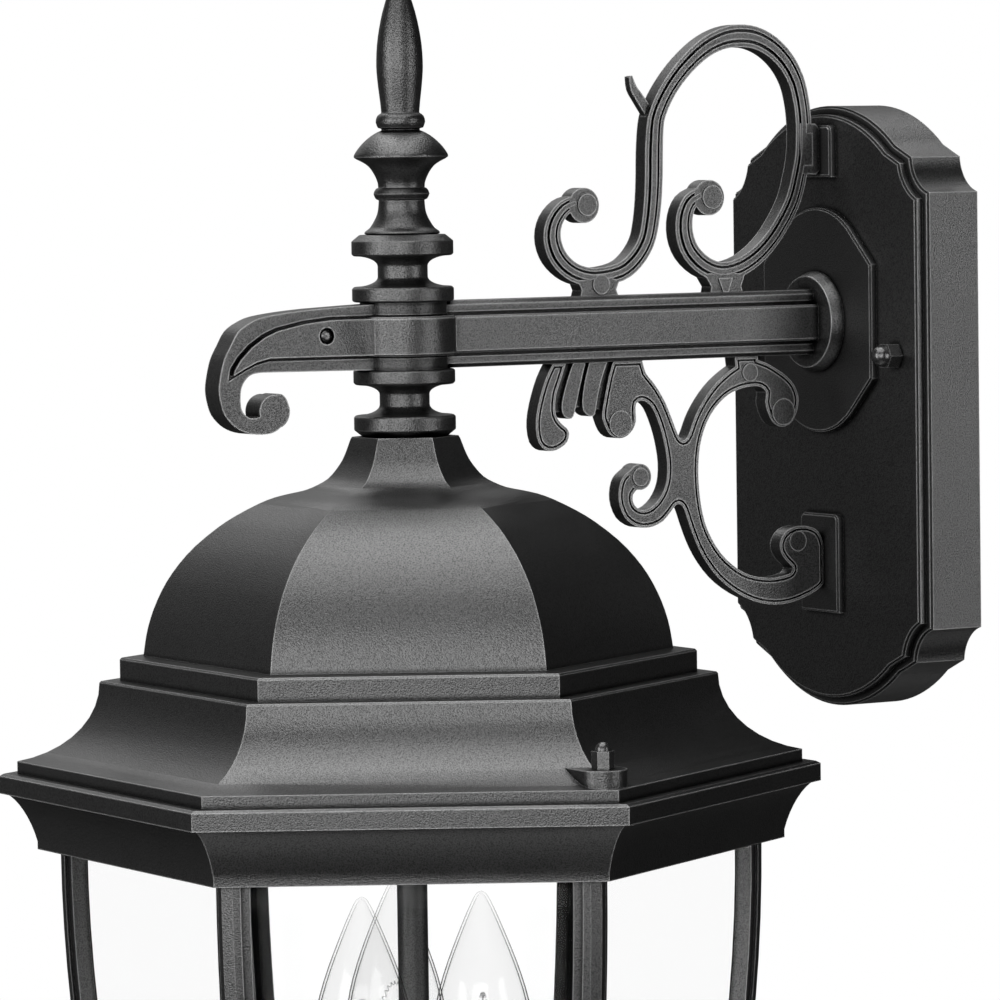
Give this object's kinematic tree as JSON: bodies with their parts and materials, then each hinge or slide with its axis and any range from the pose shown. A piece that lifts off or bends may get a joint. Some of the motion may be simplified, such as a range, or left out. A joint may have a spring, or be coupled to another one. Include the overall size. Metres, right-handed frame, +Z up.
{
  "type": "wall lantern",
  "caption": "Outdoor wall lantern: six-sided bent-glass cage under a domed roof, hung from a bracket arm with cast scrolls on an arched wall plate.",
  "frame": {"origin": "middle of the two box-screw slots of the mounting strap, on the wall plane at the back of the wall plate", "axes": "+Y into the wall, +Z up, +X to the right when one faces the wall; the lantern hangs on the -Y side and x = 0 is the plane of symmetry"},
  "size_m": [0.277, 0.3135, 0.5412],
  "materials": {
    "black_powder_coat": "satin black powder coat on cast aluminium",
    "black_nut": "black enamel",
    "zinc_steel": "zinc plated",
    "green_screw": "green",
    "clear_glass": "clear, polished",
    "bulb_glass": "clear",
    "ivory_lampholder": "matt",
    "nickel_brass": "bright"
  },
  "bodies": {
    "root": {"wall_plate": "black_powder_coat", "mounting_strap": "zinc_steel", "strap_studs": "zinc_steel", "plate_cap_nuts": "black_nut", "ground_screw": "green_screw", "arm": "black_powder_coat", "arm_nipple": "zinc_steel", "arm_locknut": "zinc_steel", "upper_scroll": "black_powder_coat", "lower_scroll": "black_powder_coat", "scroll_screws": "zinc_steel", "hook_screw": "black_nut", "finial": "black_powder_coat", "upper_spool": "black_powder_coat", "lower_spool": "black_powder_coat", "stem_pipe": "black_powder_coat", "roof": "black_powder_coat", "roof_locknut": "zinc_steel", "cage": "black_powder_coat", "cage_studs": "zinc_steel", "roof_cap_nuts": "black_nut", "glass_pane_1": "clear_glass", "glass_pane_2": "clear_glass", "glass_pane_3": "clear_glass", "glass_pane_4": "clear_glass", "glass_pane_5": "clear_glass", "glass_pane_6": "clear_glass", "glass_clips": "black_powder_coat", "cluster_body": "black_powder_coat", "lampholder_1": "ivory_lampholder", "lampholder_2": "ivory_lampholder", "lampholder_3": "ivory_lampholder", "candle_sleeve_1": "black_powder_coat", "candle_sleeve_2": "black_powder_coat", "candle_sleeve_3": "black_powder_coat", "bulb_1": "bulb_glass", "bulb_2": "bulb_glass", "bulb_3": "bulb_glass", "bulb_cap_1": "nickel_brass", "bulb_cap_2": "nickel_brass", "bulb_cap_3": "nickel_brass", "bottom_pan": "black_powder_coat", "bottom_finial": "black_powder_coat"}
  },
  "joints": []
}
